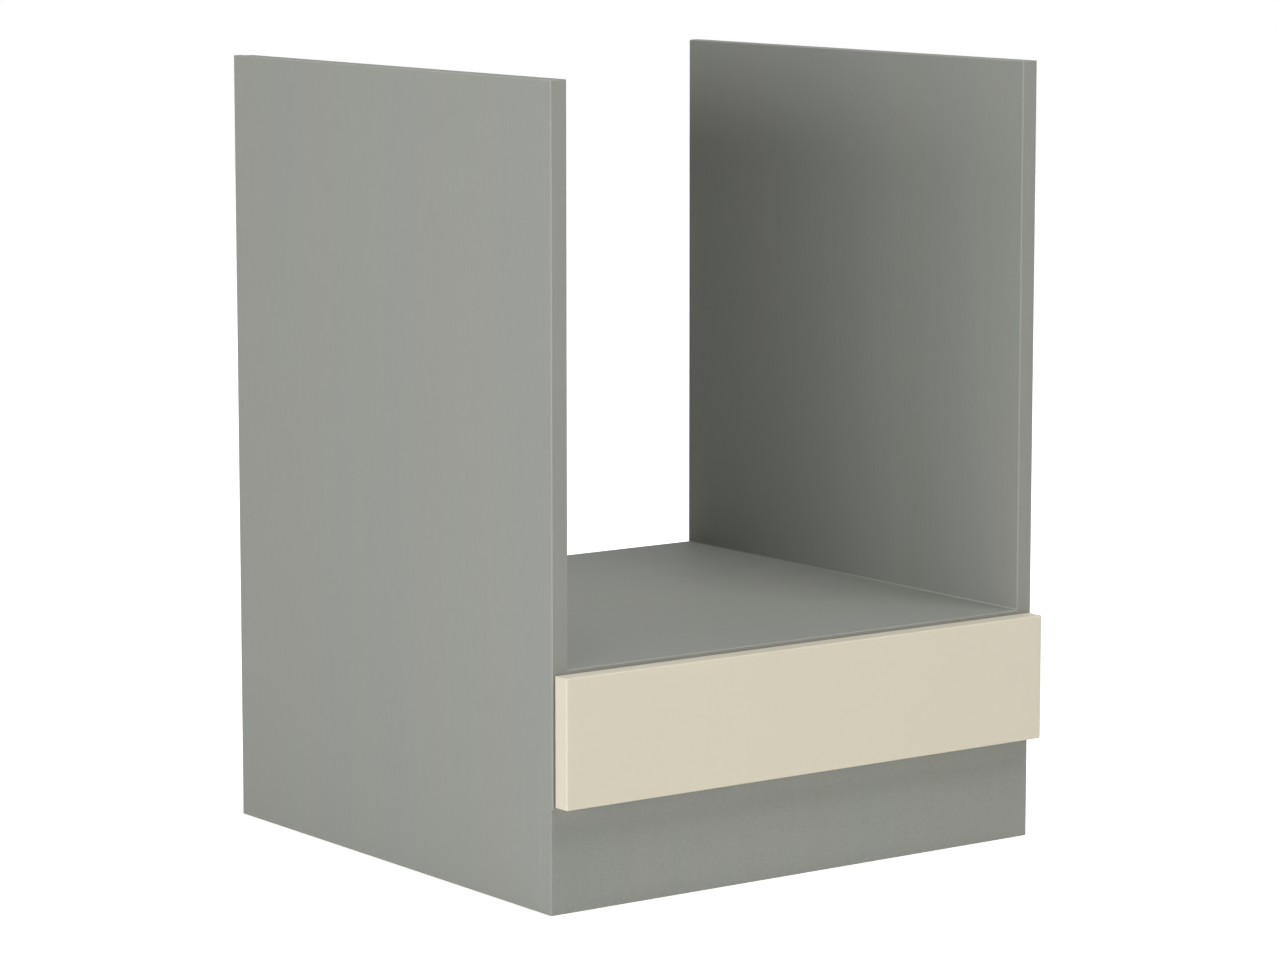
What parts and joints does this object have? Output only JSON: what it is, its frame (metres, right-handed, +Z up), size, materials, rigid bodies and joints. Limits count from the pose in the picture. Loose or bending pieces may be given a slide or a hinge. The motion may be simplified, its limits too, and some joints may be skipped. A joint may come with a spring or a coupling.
{
  "type": "oven housing unit",
  "caption": "Low oven base cabinet: an open niche between side panels over a shelf, above a shallow drawer with a plain front, and a plinth.",
  "frame": {"origin": "on the floor, under the middle of the cabinet's box with the drawer closed", "axes": "+X to the right as seen from the front, +Y to the back, +Z up"},
  "size_m": [0.6, 0.5904, 0.8],
  "materials": {
    "grey_melamine": "matte grey melamine-faced chipboard",
    "grey_edging": "matte grey edging strip",
    "cream_front": "smooth satin cream foil on board",
    "hardboard": "brown hardboard, raw outside",
    "white_melamine": "white melamine-faced chipboard",
    "white_steel": "white powder-coated sheet steel",
    "zinc_plated": "zinc-plated steel",
    "beech": "raw beech",
    "nylon": "white nylon",
    "bumper": "soft clear bumper pad"
  },
  "bodies": {
    "cabinet": {"left_side": "grey_melamine", "right_side": "grey_melamine", "oven_shelf": "grey_melamine", "bottom_panel": "grey_melamine", "plinth": "grey_melamine", "back_panel": "hardboard", "left_side_edging": "grey_edging", "right_side_edging": "grey_edging", "shelf_edging": "grey_edging", "bottom_edging": "grey_edging", "wooden_dowels": "beech", "cam_locks": "zinc_plated", "cam_bolts": "zinc_plated", "plinth_angles": "zinc_plated", "plinth_angle_screws": "zinc_plated", "back_panel_nails": "zinc_plated", "left_cabinet_runner": "white_steel", "right_cabinet_runner": "white_steel", "runner_screws": "zinc_plated", "cabinet_roller_pins": "zinc_plated"},
    "drawer": {"drawer_front": "cream_front", "left_drawer_side": "white_steel", "right_drawer_side": "white_steel", "drawer_bottom": "white_melamine", "drawer_back": "white_melamine", "left_front_bracket": "zinc_plated", "right_front_bracket": "zinc_plated", "front_bracket_screws": "zinc_plated", "front_bracket_rivets": "zinc_plated", "drawer_back_screws": "zinc_plated", "drawer_bottom_screws": "zinc_plated", "drawer_roller_pins": "zinc_plated", "front_bumpers": "bumper"},
    "cabinet_roller_left": {"left_cabinet_roller": "nylon"},
    "cabinet_roller_right": {"right_cabinet_roller": "nylon"},
    "drawer_roller_left": {"left_drawer_roller": "nylon"},
    "drawer_roller_right": {"right_drawer_roller": "nylon"}
  },
  "joints": [
    {"name": "drawer_slide", "type": "slide", "parent": "cabinet", "child": "drawer", "axis": [0, -1, 0], "range_m": [0, 0.385]},
    {"name": "cabinet_roller_left_turn", "type": "hinge", "parent": "cabinet", "child": "cabinet_roller_left", "pos_m": [-0.27525, -0.25875, 0.1434], "axis": [1, 0, 0], "continuous": true},
    {"name": "cabinet_roller_right_turn", "type": "hinge", "parent": "cabinet", "child": "cabinet_roller_right", "pos_m": [0.27525, -0.25875, 0.1434], "axis": [1, 0, 0], "continuous": true},
    {"name": "drawer_roller_left_turn", "type": "hinge", "parent": "drawer", "child": "drawer_roller_left", "pos_m": [-0.27525, 0.20975, 0.1394], "axis": [1, 0, 0], "continuous": true},
    {"name": "drawer_roller_right_turn", "type": "hinge", "parent": "drawer", "child": "drawer_roller_right", "pos_m": [0.27525, 0.20975, 0.1394], "axis": [1, 0, 0], "continuous": true}
  ],
  "couplings": [
    {"joint": "cabinet_roller_left_turn", "follows": "drawer_slide", "rad_per_m": 100},
    {"joint": "cabinet_roller_right_turn", "follows": "drawer_slide", "rad_per_m": 100},
    {"joint": "drawer_roller_left_turn", "follows": "drawer_slide", "rad_per_m": 100},
    {"joint": "drawer_roller_right_turn", "follows": "drawer_slide", "rad_per_m": 100}
  ]
}
